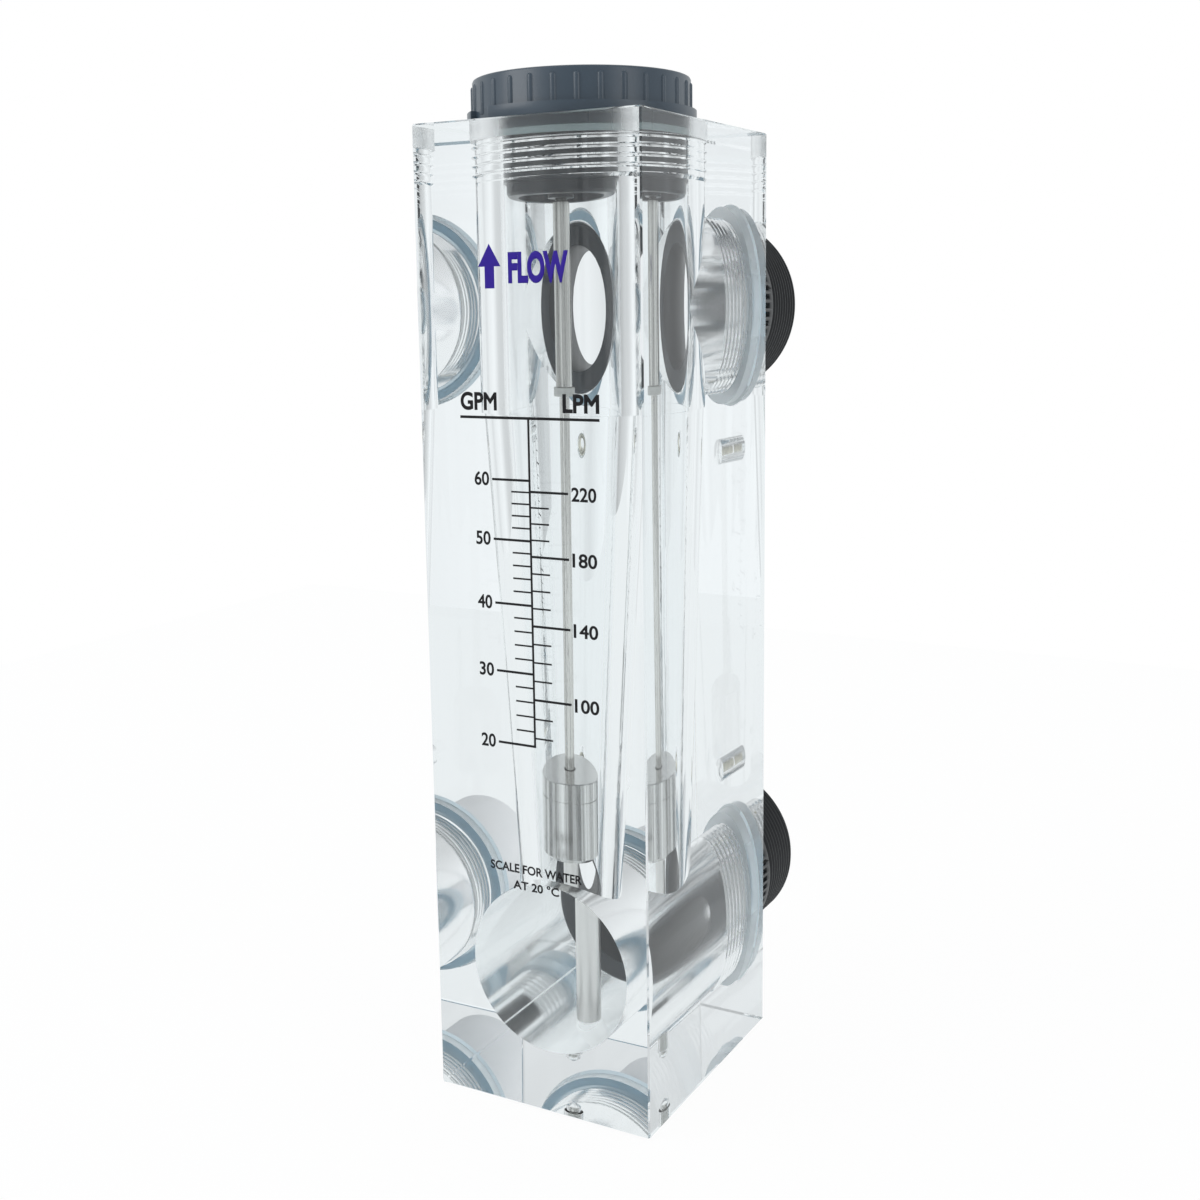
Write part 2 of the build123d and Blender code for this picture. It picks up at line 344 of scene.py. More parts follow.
def groundFinish(name, colour, through):
    # a cut wall in the clear block that holds part of the light
    finish = Finish(name, IOR=acrylic["index"], Transmission_Weight=through)
    rings = finish.noise(900, detail=3, stretch=(0.02, 1, 0.02))
    finish.wear(finish.blend(rings, tuple(c * 0.92 for c in colour[:3]) + (1,), colour), "Base Color")
    finish.wear(0.3 + 0.2 * rings, "Roughness")
    finish.bump(rings, 0.1, 0.00002)
    return finish.material


def mouldedFinish(name, colour, roughness, grain):
    finish = Finish(name, Roughness=roughness)
    cloud = finish.noise(45, detail=3)
    speck = finish.noise(900, detail=2)
    light = tuple(min(1, c * 1.18) for c in colour[:3]) + (1,)
    dark = tuple(c * 0.84 for c in colour[:3]) + (1,)
    finish.wear(finish.blend(cloud, dark, light), "Base Color")
    finish.wear(roughness * (0.85 + 0.3 * speck), "Roughness")
    finish.bump(speck, grain, 0.00008)
    return finish.material


def turnedFinish(name, colour, roughness, stretch):
    finish = Finish(name, Metallic=1.0, Roughness=roughness)
    rings = finish.noise(900, detail=3, stretch=stretch)
    cloud = finish.noise(60, detail=3)
    dark = tuple(c * 0.82 for c in colour[:3]) + (1,)
    finish.wear(finish.blend(rings, dark, colour), "Base Color")
    finish.wear(roughness * (0.7 + 0.35 * rings + 0.25 * cloud), "Roughness")
    finish.bump(rings, 0.12, 0.00004)
    return finish.material


def brushedFinish(name, dark, light, roughness):
    # lines along Z: the broad dark and light bands in the colour are painted reflection streaks, the fine ones are
    # drawn brush lines; the ends are turned plain
    finish = Finish(name, Metallic=1.0, Roughness=roughness)
    normal = finish.node("ShaderNodeNewGeometry", out="Normal")
    upright = finish.node("ShaderNodeSeparateXYZ", values={0: normal}, out="Z")
    ends = (upright * upright) > 0.5
    broadPaintedSheen = finish.noise(260, detail=2, stretch=(1, 1, 0.004))
    fine = finish.noise(1500, detail=3, stretch=(1, 1, 0.01))
    lines = 0.65 * broadPaintedSheen + 0.35 * fine
    paintedSheenStreaks = finish.node("ShaderNodeValToRGB", {"stops": [(0.36, dark), (0.62, light)]}, {0: lines})
    plain = tuple(0.35 * a + 0.65 * b for a, b in zip(dark, light))
    finish.wear(finish.blend(ends, paintedSheenStreaks, plain), "Base Color")
    finish.wear(roughness * (0.7 + 0.6 * fine), "Roughness")
    finish.bump(fine, 0.15, 0.00003)
    return finish.material


def inkFinish(name, colour):
    finish = Finish(name, Roughness=0.45, Specular_IOR_Level=0.2)
    grain = finish.noise(600, detail=2)
    finish.wear(finish.blend(grain, colour, tuple(c * 1.5 for c in colour[:3]) + (1,)), "Base Color")
    finish.wear(0.35 + 0.2 * grain, "Roughness")
    return finish.material


finishes = {
    "polished": clearFinish("clearPolished", acrylic["polished"], False),
    "machined": clearFinish("clearMachined", acrylic["machined"], True),
    "sanded": clearFinish("clearSanded", acrylic["sanded"], True),
    "ground": groundFinish("clearGround", rgb(0.62, 0.8, 0.9), 0.6),
    "slatePvc": mouldedFinish("slatePvc", rgb(0.046, 0.066, 0.088), 0.3, 0.12),
    # painted shade: a darker copy of slatePvc for the cap's spigot, nose and thread, which lie in shade inside the
    # bore
    "slateInPaintedShade": mouldedFinish("slateInPaintedShade", rgb(0.014, 0.02, 0.028), 0.3, 0.08),
    "blackAbs": mouldedFinish("blackAbs", rgb(0.009, 0.0105, 0.0125), 0.4, 0.15),
    "slateShank": mouldedFinish("slateShank", rgb(0.02, 0.03, 0.04), 0.45, 0.1),
    # painted light: a near-white colour on the connector's thread and lining, standing for the bright backdrop seen
    # there
    "paintedBackdropLight": mouldedFinish("paintedBackdropLight", rgb(0.94, 0.97, 0.98), 0.5, 0.1),
    "portSeal": groundFinish("portSeal", rgb(0.64, 0.85, 0.97), 0.6),
    "capSeal": mouldedFinish("capSeal", rgb(0.42, 0.52, 0.53), 0.4, 0.05),
    "nylon": mouldedFinish("nylonWhite", rgb(0.78, 0.79, 0.76), 0.4, 0.06),
    "steel": turnedFinish("turnedSteel", rgb(0.66, 0.655, 0.64), 0.12, (0.02, 0.02, 1)),
    # painted reflection: broad dark and light streaks in the colour stand for highlight streaks on the rod, tubes
    # and float
    "rodSteel": brushedFinish("drawnSteelPaintedSheen", rgb(0.24, 0.235, 0.22), rgb(0.8, 0.79, 0.76), 0.16),
    "brushed": brushedFinish("brushedSteelPaintedSheen", rgb(0.2, 0.2, 0.195), rgb(0.86, 0.86, 0.85), 0.2),
    "paleSteel": turnedFinish("paleSteel", rgb(0.9, 0.89, 0.87), 0.35, (1, 1, 0.02)),
    "brass": turnedFinish("paleBrass", rgb(0.93, 0.89, 0.76), 0.42, (1, 0.05, 1)),
    "blackInk": inkFinish("blackInk", rgb(0.006, 0.006, 0.007)),
    "blueInk": inkFinish("blueInk", rgb(0.02, 0.006, 0.2)),
}
print("finishes made")


def finishPiece(piece, body, finish=None, replaced=()):
    if finish:
        piece.data.materials.clear()
        piece.data.materials.append(finishes[finish])
    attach(piece, body)
    if replaced:
        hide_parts(*replaced)
    return piece


# the clear block

block = {
    "width": 75, "front": 35, "back": 53, "height": 300, "edge": 0.5,
    "bore": 27.4, "ledge": 215.5, "taperTop": 26.4, "taperLow": 15.7,
    "recess": 28.9, "recessFloor": 295.2,
    "port": 27.2, "upperPort": 246, "lowerPort": 44, "portStart": 46.4, "portRecess": 31.5, "mouth": 1.0,
    "blindEnd": -25, "foot": 3.55, "footFloor": 10.3, "pin": 2.6, "pinFloor": 8.3,
    "insertHeights": (199, 91), "insert": 4.2, "insertFloor": 44, "drillTip": 1.4,
    "steps": 160, "taperSteps": 256, "smallSteps": 48, "runOutSteps": 120,
}
# each minor radius lies 0.2 mm inside its bore, or the cut leaves skins behind
boreThread = {"pitch": 2.7, "minor": 27.2, "major": 28.5, "tip": 0.25, "root": 1.15, "start": 282.35,
              "low": 281.2, "high": 295.6, "steps": 128}
portThread = {"pitch": 2.7, "minor": 27.0, "major": 27.8, "tip": 0.2, "root": 0.3, "start": 30.0,
              "low": 30.2, "high": 46.8, "steps": 128}
boreRunOut = ((0, 281), (27.0, 281), (27.0, 282.3), (28.7, 285.2), (28.7, 296), (0, 296))


def clearBlock():
    b = block
    bpy.ops.object.select_all(action="DESELECT")
    middle = (0, (b["back"] - b["front"]) / 2 * mm, b["height"] / 2 * mm)
    size = (b["width"] * mm, (b["front"] + b["back"]) * mm, b["height"] * mm)
    bpy.ops.mesh.primitive_cube_add(size=1, location=middle, scale=size)
    piece = bpy.context.object
    piece.name = piece.data.name = "clearBlock"
    applyPlace(piece)
    bpy.ops.object.mode_set(mode="EDIT")
    bpy.ops.mesh.select_all(action="SELECT")
    bpy.ops.mesh.bevel(offset=b["edge"] * mm, segments=1, affect="EDGES")
    bpy.ops.object.mode_set(mode="OBJECT")
    piece.data.materials.append(finishes["polished"])

    cutters = []

    def cut(tool, finish="polished"):
        tool.data.materials.append(finishes[finish])
        cutters.append(tool)

    cut(turned("taper", [(0, b["lowerPort"]), (b["taperLow"], b["lowerPort"]), (b["taperTop"], b["ledge"]),
                         (b["bore"], b["ledge"]), (b["bore"], b["recessFloor"] + 1), (0, b["recessFloor"] + 1)],
               b["taperSteps"]))
    cut(turned("capRecess", [(0, b["recessFloor"]), (b["recess"], b["recessFloor"]),
                             (b["recess"], b["height"] + 2), (0, b["height"] + 2)], b["steps"]), "sanded")
    for port, start in ((b["upperPort"], 0), (b["lowerPort"], b["blindEnd"])):
        cut(layAlongY(turned("portBore", [(0, start), (b["port"], start), (b["port"], b["portStart"] + 1),
                                          (0, b["portStart"] + 1)], b["steps"]), port), "machined")
        cut(layAlongY(turned("portRecess", [(0, b["portStart"]), (b["portRecess"], b["portStart"]),
                                            (b["portRecess"], b["back"] - b["mouth"]),
                                            (b["portRecess"] + 2 * b["mouth"], b["back"] + b["mouth"]),
                                            (0, b["back"] + b["mouth"])], b["steps"]), port), "ground")
    cut(turned("footPocket", [(0, 20), (b["foot"], 20), (b["foot"], b["footFloor"]), (b["pin"], b["footFloor"]),
                              (b["pin"], b["pinFloor"]), (0, b["pinFloor"] - b["drillTip"])], b["smallSteps"]),
        "machined")
    for height in b["insertHeights"]:
        hole = turned("insertHole", [(0, b["insertFloor"] - b["drillTip"]), (b["insert"], b["insertFloor"]),
                                     (b["insert"], b["back"] + 1), (0, b["back"] + 1)], b["smallSteps"])
        cut(layAlongY(hole, height), "machined")
    for port in (b["upperPort"], b["lowerPort"]):
        cut(layAlongY(screwed("portGroove", portThread), port), "machined")
    cut(combine(screwed("boreGroove", boreThread), turned("runOut", boreRunOut, b["runOutSteps"]), "INTERSECT"))
    carve(piece, cutters)
    for face in piece.data.polygons:                # the flat end of the lower cross bore is polished
        if abs(face.center.y / mm - b["blindEnd"]) < 0.01:
            face.material_index = 0
    smooth(piece, 18)
    return finishPiece(piece, "body", replaced=["body_block"])


clearBlock()
print("clear block carved")


# the screwed cap, with its bead ribs and its thread

cap = {
    "base": 300, "lift": 0.03, "flange": 34.2, "flangeThick": 3.5, "body": 32.5, "height": 13, "edge": 0.8,
    "rim": 3.0, "dish": 0.8,
    "ribs": 30, "rib": 1.15, "proud": 0.5, "ribTop": 311.4, "ribPhase": -63.2,
    "notches": (-122.5, 57.5), "notchWidth": 11.4,
    "shoulder": 28.5, "shoulderLow": 297.4, "spigot": 27.1, "spigotLow": 282.4,
    "nose": 25.8, "noseLow": 278.9, "hollow": 20.35, "boss": 6.2, "hollowDeep": 3,
    "rodHole": 2.45, "rodHoleTop": 293.4, "steps": 180,
}
capThread = {"pitch": 2.7, "minor": 27.05, "major": 28.2, "tip": 0.2, "root": 1.45, "start": 282.35,
             "low": 282.7, "high": 295.2, "steps": 128}
capThreadZone = ((24, 283.2), (27.2, 283.2), (28.4, 285.5), (28.4, 295), (24, 295))


def screwCap():
    c = cap
    top, low = c["base"] + c["height"], c["noseLow"]
    body = turned("screwCap", [
        (0, c["rodHoleTop"]), (c["rodHole"], c["rodHoleTop"]), (c["rodHole"], low), (c["boss"], low),
        (c["boss"], low + c["hollowDeep"]), (c["hollow"], low + c["hollowDeep"]), (c["hollow"], low),
        (c["nose"] - c["edge"], low), (c["nose"], low + c["edge"]), (c["nose"], c["spigotLow"]),
        (c["spigot"], c["spigotLow"]), (c["spigot"], c["shoulderLow"]), (c["shoulder"], c["shoulderLow"]),
        (c["shoulder"], c["base"] + c["lift"]), (c["flange"], c["base"] + c["lift"]),
        (c["flange"], c["base"] + c["flangeThick"]),
        (c["body"], c["base"] + c["flangeThick"]), (c["body"], top - c["edge"]), (c["body"] - 0.25, top - 0.25),
        (c["body"] - c["edge"], top), (c["body"] - c["rim"], top),
        (c["body"] - c["rim"] - c["dish"], top - c["dish"]), (0, top - c["dish"])], c["steps"])
    for turn in c["notches"]:
        notch = boxOf("notch", (2 * c["body"] - c["flange"], -c["notchWidth"] / 2, c["base"] - 0.5),
                      (c["flange"] + 1, c["notchWidth"] / 2, c["base"] + c["flangeThick"]))
        notch.rotation_euler = (0, 0, math.radians(turn))
        inner, outer = c["body"] + 0.01, c["flange"] + 2
        below, above = c["base"] - 1, c["base"] + c["flangeThick"] + 1
        hollow = turned("hollow", [(inner, below), (outer, below), (outer, above), (inner, above)], c["steps"])
        combine(body, combine(applyPlace(notch), hollow, "INTERSECT"), "DIFFERENCE")
    eased(body, 0.22)
    r, high = c["rib"], c["ribTop"]
    bead = turned("rib", [(0, c["base"] + 2), (r, c["base"] + 2), (r, high - 0.9), (r * 0.92, high - 0.45),
                          (r * 0.7, high - 0.14), (r * 0.38, high - 0.02), (0, high)], 20)
    bead.location = ((c["body"] + c["proud"] - r) * mm, 0, 0)
    ribs = aroundZ(applyPlace(bead), c["ribs"], c["ribPhase"])
    thread = combine(screwed("capThread", capThread), turned("threadZone", capThreadZone), "INTERSECT")
    for item in [body] + ribs:
        item.data.materials.clear()
        item.data.materials.append(finishes["slatePvc"])
    body.data.materials.append(finishes["slateInPaintedShade"])
    for face in body.data.polygons:                 # painted shade: the spigot, nose and hollow below the shoulder get a darker copy of the slate, standing for the shade they lie in inside the bore
        flat = math.hypot(face.center.x, face.center.y) / mm
        if flat < c["spigot"] + 0.2 and face.center.z / mm < c["shoulderLow"]:
            face.material_index = 1
    thread.data.materials.clear()
    thread.data.materials.append(finishes["slateInPaintedShade"])
    piece = joined("screwCap", [body, thread] + ribs)
    smooth(piece, 34)
    return finishPiece(piece, "cap", replaced=["top_cap"])


screwCap()
print("cap turned")


# the small threaded collar between the upper stop tube and the cap

rodCollar = {"pitch": 0.5, "minor": 2.72, "major": 3.0, "tip": 0.08, "root": 0.1, "start": 277.0,
             "low": 277.92, "high": 278.88, "steps": 64, "hole": 2.43}


def threadedCollar():
    c = rodCollar
    piece = screwed("rodCollar", c)
    combine(piece, turned("hole", [(0, c["low"] - 1), (c["hole"], c["low"] - 1), (c["hole"], c["high"] + 1),
                                   (0, c["high"] + 1)], c["steps"]), "DIFFERENCE")
    smooth(piece, 25)
    return finishPiece(piece, "rod_set", "steel", ["rod_washer"])


threadedCollar()
print("collar made")


# the two pipe connectors

connector = {
    "bore": 20, "liner": 21, "linerEnd": 88, "start": 28, "shank": 27.1, "shankEdge": 1.0,
    "collar": 31, "collarStart": 48.8, "collarEnd": 75,
    "relief": 28.8, "threadStart": 76.5, "end": 99.5, "endEdge": 1.5, "boreEdge": 0.8, "steps": 144,
    "pockets": 66, "pocketWidth": 1.7, "pocketDepth": 1.6, "pocketFrom": 54.5, "pocketTo": 72,
    "ports": {"upper_connector": 246, "lower_connector": 44},
}
pipeThread = {"pitch": 2.209, "minor": 28.65, "major": 30.15, "tip": 0.3, "root": 0.3, "start": 76.0,
              "low": 76.3, "high": 99.7, "steps": 112}
shankThread = {"pitch": 2.7, "minor": 27.05, "major": 27.5, "tip": 0.2, "root": 1.45, "start": 30.0,
               "low": 29.8, "high": 46.6, "steps": 112}
shankZone = ((23, 30), (27.2, 30), (27.7, 30.5), (27.7, 45.7), (27.2, 46.2), (23, 46.2))


def shankPiece():
    c = connector
    body = turned("shank", [
        (c["bore"], c["start"]), (c["shank"] - c["shankEdge"], c["start"]),
        (c["shank"], c["start"] + c["shankEdge"]), (c["shank"], c["collarStart"]),
        (c["liner"], c["collarStart"]), (c["liner"], c["linerEnd"]), (c["bore"], c["linerEnd"])], c["steps"])
    eased(body, 0.15)
    thread = combine(screwed("shankThread", shankThread), turned("shankZone", shankZone, c["steps"]), "INTERSECT")
    piece = joined("shank", [body, thread])
    piece.data.materials.clear()
    for finish in ("slateShank", "paintedBackdropLight"):
        piece.data.materials.append(finishes[finish])
    for face in piece.data.polygons:                # painted light: the shank's thread and the lining's outside are coloured near white, standing for the bright backdrop seen in them through the block
        reach, along = math.hypot(face.center.x, face.center.y) / mm, face.center.z / mm
        paintedThread = reach > c["shank"] - 0.2 and along > c["start"] + 1.5
        lined = reach > c["bore"] + 0.4 and along > c["collarStart"] - 0.1
        face.material_index = int(paintedThread or lined)
    return piece


def collarPiece():
    c = connector
    minor = pipeThread["minor"] + 0.03
    body = turned("collar", [
        (c["liner"] - 0.1, c["collarStart"] + 0.02), (c["collar"], c["collarStart"] + 0.02),
        (c["collar"], c["collarEnd"]),
        (c["relief"], c["collarEnd"]), (c["relief"], c["threadStart"]), (minor, c["threadStart"] + 0.1),
        (minor, c["end"]), (c["bore"] + c["boreEdge"], c["end"]), (c["bore"], c["linerEnd"] + 0.01),
        (c["liner"] - 0.1, c["linerEnd"] + 0.01)], c["steps"])
    deep, half = c["collar"] - c["pocketDepth"], c["pocketWidth"] / 2
    slot = boxOf("slot", (deep, -half, c["pocketFrom"]), (c["collar"] + 1, half, c["pocketTo"]))
    combine(body, joined("slots", aroundZ(slot, c["pockets"], 0)), "DIFFERENCE")
    eased(body, 0.2)
    edge, crest, first, last = c["endEdge"], pipeThread["major"] + 0.1, c["threadStart"], c["end"] - 0.02
    pipe = combine(screwed("pipeThread", pipeThread),
                   turned("pipeZone", [(24, first), (28.2, first), (crest, first + 1.4), (crest, c["end"] - edge),
                                       (crest - edge, last), (24, last)], c["steps"]), "INTERSECT")
    return joined("collar", [body, pipe])


def bothConnectors():
    for make, part, finish in ((shankPiece, "Shank", None), (collarPiece, "Collar", "blackAbs")):
        first = make()
        second = copied(first, "lower" + part)
        for piece, name, node in ((first, "upper", "upper_connector"), (second, "lower", "lower_connector")):
            piece.name = piece.data.name = name + part
            layAlongY(piece, connector["ports"][node])
            smooth(piece, 34)
            finishPiece(piece, "body", finish, [node])
            if part == "Collar":                # as photographed, no collar shows through the block
                piece.visible_transmission = piece.visible_diffuse = piece.visible_shadow = False


bothConnectors()
print("connectors threaded")


# flat seal rings behind the connectors and under the cap

seals = {
    "gap": 0.03,            # off the faces that they lie on
    "port": (28.6, 31.1, 46.4, 48.8), "portHeights": {"upper_connector_seal": 246, "lower_connector_seal": 44},
    "cap": (27.15, 28.6, 295.2, 297.4), "steps": 144,
}


def sealRing(name, inner, outer, low, high):
    low, high = low + seals["gap"], high - seals["gap"]
    piece = turned(name, [(inner, low), (outer, low), (outer, high), (inner, high)], seals["steps"])
    return smooth(eased(piece, 0.3, 3), 34)


def allSeals():
    for node, height in seals["portHeights"].items():
        piece = sealRing(node.replace("_connector_seal", "PortSeal"), *seals["port"])
        layAlongY(piece, height)
        finishPiece(piece, "body", "portSeal", [node])
    piece = sealRing("capSealRing", *seals["cap"])
    finishPiece(piece, "cap", "capSeal", ["cap_seal"])


allSeals()
print("seals laid")


# the two brass inserts for the mounting screws

insert = {
    "low": 45.8, "high": 52.8, "outer": 4.15, "hole": 2.45, "groove": 0.35, "knurl": 0.955, "teeth": 36,
    "waist": (0.4, 0.6),            # parts of the length
    "collar": 0.9, "collarEdge": 0.75, "collarIn": 0.12,
    "heights": {"upper_mount_insert": 199, "lower_mount_insert": 91},
}
insertThread = {"pitch": 1.0, "minor": 2.5, "major": 3.0, "tip": 0.12, "root": 0.2, "start": 45.0,
                "low": 45.3, "high": 53.3, "steps": 40}


def brassInsert():
    n = insert
    low, high, outer, groove = n["low"], n["high"], n["outer"], n["groove"]
    waistLow, waistHigh = (low + part * (high - low) for part in n["waist"])
    collarIn = outer - n["collarIn"]
    piece = turned("insert", [
        (n["hole"], low), (outer - groove, low), (outer, low + groove), (outer, waistLow),
        (outer - groove, waistLow + groove), (outer - groove, waistHigh - groove),
        (outer, waistHigh), (outer, high - n["collar"]), (collarIn, high - n["collarEdge"]), (collarIn, high),
        (n["hole"] + 0.5, high), (n["hole"], high - 0.5)], 2 * n["teeth"])
    pickOnly(piece)
    bpy.ops.object.mode_set(mode="EDIT")
    bpy.ops.mesh.select_mode(type="VERT")
    bpy.ops.mesh.select_all(action="DESELECT")
    bpy.ops.object.mode_set(mode="OBJECT")
    for vertex in piece.data.vertices:              # every other line of the two bands sinks in
        x, y = vertex.co.x / mm, vertex.co.y / mm
        line = round(math.atan2(y, x) / math.tau * 2 * n["teeth"])
        vertex.select = math.hypot(x, y) > outer - 0.01 and line % 2 == 0
    bpy.ops.object.mode_set(mode="EDIT")
    bpy.ops.transform.resize(value=(n["knurl"], n["knurl"], 1), center_override=(0, 0, 0))
    bpy.ops.object.mode_set(mode="OBJECT")
    combine(piece, screwed("insertThread", insertThread), "DIFFERENCE")
    smooth(piece, 22)
    return piece


def bothInserts():
    first = brassInsert()
    second = copied(first, "lowerInsert")
    for piece, node in ((first, "upper_mount_insert"), (second, "lower_mount_insert")):
        piece.name = piece.data.name = node.replace("_mount_insert", "Insert")
        layAlongY(piece, insert["heights"][node])
        finishPiece(piece, "body", "brass", [node])


bothInserts()
print("inserts knurled")


# numerals, unit names and a flow arrow, printed on the front face

printing = {
    "face": -35.05, "thick": 0.045, "letter": 6,
    "digitBold": 0.14, "unitBold": 0.2, "noteBold": 0.16, "flowBold": 0.3,      # extra width of the strokes
    "zero": 68.5, "rise": 0.6833, "bend": 0.000513, "litres": 3.785,
    "gallons": (60, 50, 40, 30, 20), "litreMarks": (220, 180, 140, 100),
    "numeral": 4.2, "gallonEnd": -13.6, "litreStart": 14.2, "digit": 2.75,
    "units": (("GPM", -22.9, -10.3, 217.3, 222.7), ("LPM", 11.8, 23.7, 217.1, 222.5)),
    "note": (("SCALE FOR WATER", -16.6, 15.6, 76.4, 79.3), ("AT 20 \u00b0C", -8.6, 7.6, 71.2, 74.1)),
    "flow": ("FLOW", -5.4, 14.4, 253.6, 262.6),
    "arrow": ((-11.7, 265), (-7.9, 258.6), (-10.1, 258.6), (-10.1, 252.4), (-13.3, 252.4), (-13.3, 258.6),
              (-15.5, 258.6)),
}


def stamped(piece, low, high, finish):
    # stands a flat mesh up on the front face and fits it between two corners (x, z)
    pickOnly(piece)
    bpy.ops.object.convert(target="MESH")
    piece = applyPlace(bpy.context.object)
    xs, ys = [v.co.x for v in piece.data.vertices], [v.co.y for v in piece.data.vertices]
    deep = max(v.co.z for v in piece.data.vertices)
    wide, tall = (high[0] - low[0]) * mm / (max(xs) - min(xs)), (high[1] - low[1]) * mm / (max(ys) - min(ys))
    piece.scale = (wide, tall, printing["thick"] * mm / deep)
    piece.location = (low[0] * mm - min(xs) * wide, low[1] * mm - min(ys) * tall, 0)
    applyPlace(piece)
    piece.rotation_euler = (math.pi / 2, 0, 0)
    piece.location = (0, printing["face"] * mm, 0)
    applyPlace(piece)
    piece.data.materials.clear()
    piece.data.materials.append(finishes[finish])
    return piece


def lettering(words, low, high, finish="blackInk", bold=0.0):
    bpy.ops.object.select_all(action="DESELECT")
    bpy.ops.object.text_add()
    piece = bpy.context.object
    piece.data.body = words
    piece.data.size, piece.data.extrude = printing["letter"] * mm, printing["thick"] * mm
    piece.data.bevel_depth = bold * mm
    piece.data.bevel_resolution = 0
    piece.data.resolution_u = 6
    return stamped(piece, low, high, finish)


def printedScale():
    p = printing
    words = []

    def height(litres):
        return p["zero"] + p["rise"] * litres - p["bend"] * litres ** 2

    def numeral(number, left, right, middle):
        half = p["numeral"] / 2
        words.append(lettering(str(number), (left, middle - half), (right, middle + half), bold=p["digitBold"]))

    for gallons in p["gallons"]:
        numeral(gallons, p["gallonEnd"] - 2 * p["digit"] + 0.4, p["gallonEnd"], height(gallons * p["litres"]) + 0.1)
    for litres in p["litreMarks"]:
        numeral(litres, p["litreStart"], p["litreStart"] + 3 * p["digit"] - 0.1, height(litres) - 0.1)
    for name, left, right, low, high in p["units"]:
        words.append(lettering(name, (left, low), (right, high), bold=p["unitBold"]))
    for line, left, right, low, high in p["note"]:
        words.append(lettering(line, (left, low), (right, high), bold=p["noteBold"]))
    piece = joined("scaleWords", words)
    return finishPiece(piece, "body")


def flowArrow():
    p = printing
    words, left, right, low, high = p["flow"]
    name = lettering(words, (left, low), (right, high), "blueInk", bold=p["flowBold"])
    bpy.ops.object.select_all(action="DESELECT")
    bpy.ops.mesh.primitive_plane_add(size=mm)
    arrow = bpy.context.object
    bpy.ops.object.mode_set(mode="EDIT")
    bpy.ops.mesh.merge(type="CENTER")
    spots = [Vector((x * mm, p["face"] * mm - p["thick"] * mm, z * mm)) for x, z in p["arrow"]]
    bpy.ops.transform.translate(value=spots[0])
    for here, there in zip(spots, spots[1:] + spots[:1]):
        bpy.ops.mesh.extrude_vertices_move(TRANSFORM_OT_translate={"value": there - here})
    bpy.ops.mesh.select_all(action="SELECT")
    bpy.ops.mesh.remove_doubles(threshold=weld)
    bpy.ops.mesh.edge_face_add()
    bpy.ops.mesh.extrude_region_move(TRANSFORM_OT_translate={"value": (0, 2 * p["thick"] * mm, 0)})
    settle(arrow)
    arrow.data.materials.append(finishes["blueInk"])
    piece = joined("flowArrow", [name, arrow])
    return finishPiece(piece, "body")


printedScale()
flowArrow()
print("scale printed")


# finishes on the solids that stay as they are

keptNodes = {
    "scale_marks": "blackInk", "rod_foot": "nylon", "guide_rod": "rodSteel",
    "upper_stop_tube": "rodSteel", "lower_stop_tube": "paleSteel",
    "upper_bumper": "nylon", "lower_bumper": "nylon", "float": "brushed",
}
spareNodes = {                  # stood for by the pieces above, with the same finish
    "body_block": "polished", "top_cap": "slatePvc", "cap_seal": "capSeal", "rod_washer": "steel",
    "upper_connector": "blackAbs", "lower_connector": "blackAbs",
    "upper_connector_seal": "portSeal", "lower_connector_seal": "portSeal",
    "upper_mount_insert": "brass", "lower_mount_insert": "brass",
}
for name, finish in {**keptNodes, **spareNodes}.items():
    for slot in nodes[name].material_slots:
        slot.material = finishes[finish]


# the studio

studio = {
    "floor": 1.3,
    "drop": 0.6,            # the block stands this far above the floor, in mm, on air as on a table
    "floorColour": rgb(0.86, 0.87, 0.88),
    "glow": 0.96,           # how much of the floor's white is its own, for the camera
    "floorThrough": rgb(0.86, 0.89, 0.9),
    "lamps": {              # place, width, height and power
        "keyLamp": ((-1.0, -1.1, 1.1), 1.0, 1.0, 9.0),
        "fillLamp": ((1.5, -0.3, 0.8), 0.8, 1.4, 4.0),
    },
    "lampAim": (0, 0, 0.15),
    "behind": 119.3,        # which way is straight behind, in degrees from +X
    "plain": (0.80, 0.82, 0.84),
    "cool": (0.955, 0.985, 1.0),
    "flats": ((-180, 0.5), (-172, 0.55), (-168, 0.3), (-163, 0.55), (-150, 0.62), (-144, 0.96), (-134, 1.0),
              (-120, 0.95), (-112, 0.55), (-100, 0.8), (-88, 0.66), (-75, 0.72), (-60, 0.98), (-42, 0.9),
              (-30, 0.78), (-20, 0.9), (0, 0.93), (20, 0.9), (30, 0.78), (42, 0.92), (60, 1.0), (78, 0.72),
              (92, 0.62), (105, 0.45), (119, 0.6), (126, 1.0), (134, 0.94), (141, 0.5), (146, 0.3), (151, 0.52),
              (165, 0.55), (180, 0.5)),         # degrees from straight behind, and brightness
    "ceiling": ((0.0, 0.9), (0.45, 1.0), (0.62, 1.0), (0.8, 0.72), (1.0, 0.85)),    # from straight down to up
    "bounces": 40, "throughBounces": 32,        # light turns back many times inside the clear block
}


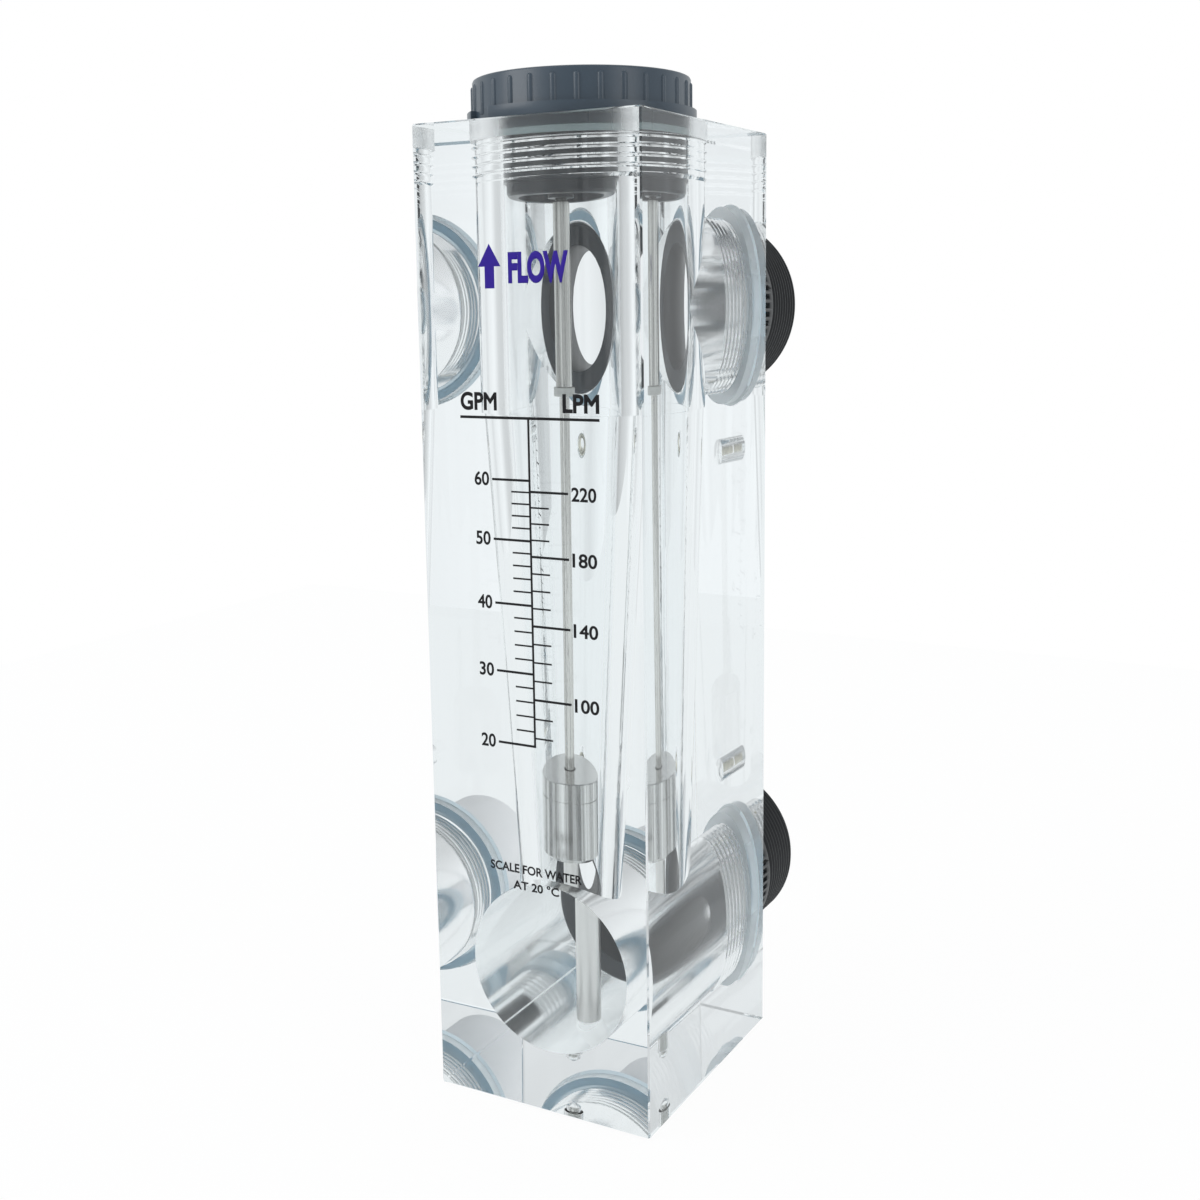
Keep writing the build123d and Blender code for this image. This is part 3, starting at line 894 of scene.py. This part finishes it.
def studioFloor():
    bpy.ops.object.select_all(action="DESELECT")
    bpy.ops.mesh.primitive_plane_add(size=studio["floor"], location=(0, 0, -studio["drop"] * mm))
    floor = bpy.context.object
    floor.name = floor.data.name = "studioFloor"
    finish = Finish("studioFloor", Base_Color=studio["floorColour"], Roughness=0.9)
    rays = finish.tree.nodes.new("ShaderNodeLightPath")
    camera = Wire(finish.tree, rays.outputs["Is Camera Ray"])
    glossy = Wire(finish.tree, rays.outputs["Is Glossy Ray"])
    seen = camera | (glossy | Wire(finish.tree, rays.outputs["Is Transmission Ray"]))
    white = finish.node("ShaderNodeEmission", values={
        "Color": finish.blend(camera, studio["floorThrough"], rgb(1, 1, 1)), "Strength": 1.0})
    mixed = finish.tree.nodes.new("ShaderNodeMixShader")
    finish.link(seen * studio["glow"], mixed.inputs[0])
    finish.tree.links.new(finish.shader.outputs[0], mixed.inputs[1])
    finish.link(white, mixed.inputs[2])
    finish.tree.links.new(mixed.outputs[0], finish.tree.nodes["Material Output"].inputs[0])
    floor.data.materials.append(finish.material)


def studioWorld():
    # what glass and metal see: flats round the table, by degrees to the right of straight behind the object
    world = bpy.data.worlds.new("studioWorld")
    bpy.context.scene.world = world
    world.use_nodes = True
    sky = Finish(tree=world.node_tree)
    back = sky.tree.nodes["Background"]
    direction = sky.node("ShaderNodeTexCoord", out="Generated")
    behind = math.radians(studio["behind"])
    rightward = sky.node("ShaderNodeVectorMath", {"operation": "DOT_PRODUCT"},
                         {0: direction, 1: (math.sin(behind), -math.cos(behind), 0)}, out="Value")
    onward = sky.node("ShaderNodeVectorMath", {"operation": "DOT_PRODUCT"},
                      {0: direction, 1: (math.cos(behind), math.sin(behind), 0)}, out="Value")
    upward = sky.node("ShaderNodeVectorMath", {"operation": "DOT_PRODUCT"},
                      {0: direction, 1: (0, 0, 1)}, out="Value")
    turn = rightward.maths("ARCTAN2", rightward, onward) / math.tau + 0.5
    cool = studio["cool"]
    flats = sky.node("ShaderNodeValToRGB", {"stops": [
        (angle / 360 + 0.5, rgb(*(level * c for c in cool))) for angle, level in studio["flats"]]}, {0: turn})
    ceiling = sky.node("ShaderNodeValToRGB", {"stops": [
        (place, rgb(level, level, level)) for place, level in studio["ceiling"]]}, {0: upward * 0.5 + 0.5})
    seen = sky.node("ShaderNodeMix", {"data_type": "RGBA", "blend_type": "MULTIPLY"},
                    {0: 1.0, 6: flats, 7: ceiling}, out=2)
    rays = sky.tree.nodes.new("ShaderNodeLightPath")
    camera = Wire(sky.tree, rays.outputs["Is Camera Ray"])
    diffuse = Wire(sky.tree, rays.outputs["Is Diffuse Ray"])
    plain = sky.blend(diffuse, seen, rgb(*studio["plain"]))
    sky.link(sky.blend(camera, plain, rgb(1, 1, 1)), back.inputs[0])


def softbox(name, place, width, height, power):
    bpy.ops.object.select_all(action="DESELECT")
    bpy.ops.object.light_add(type="AREA", location=place)
    lamp = bpy.context.object
    lamp.name = name
    lamp.visible_transmission = False           # the clear block sees the flats, not the lamps
    lamp.data.shape, lamp.data.size, lamp.data.size_y = "RECTANGLE", width, height
    lamp.data.energy = power
    aim = Vector(studio["lampAim"]) - Vector(place)
    lamp.rotation_euler = aim.to_track_quat("-Z", "Y").to_euler()


studioFloor()
studioWorld()
for lampName, values in studio["lamps"].items():
    softbox(lampName, *values)

scene = bpy.context.scene
scene.view_settings.view_transform = "Standard"
scene.cycles.max_bounces = studio["bounces"]
scene.cycles.transmission_bounces = scene.cycles.glossy_bounces = studio["throughBounces"]
print("studio lit")
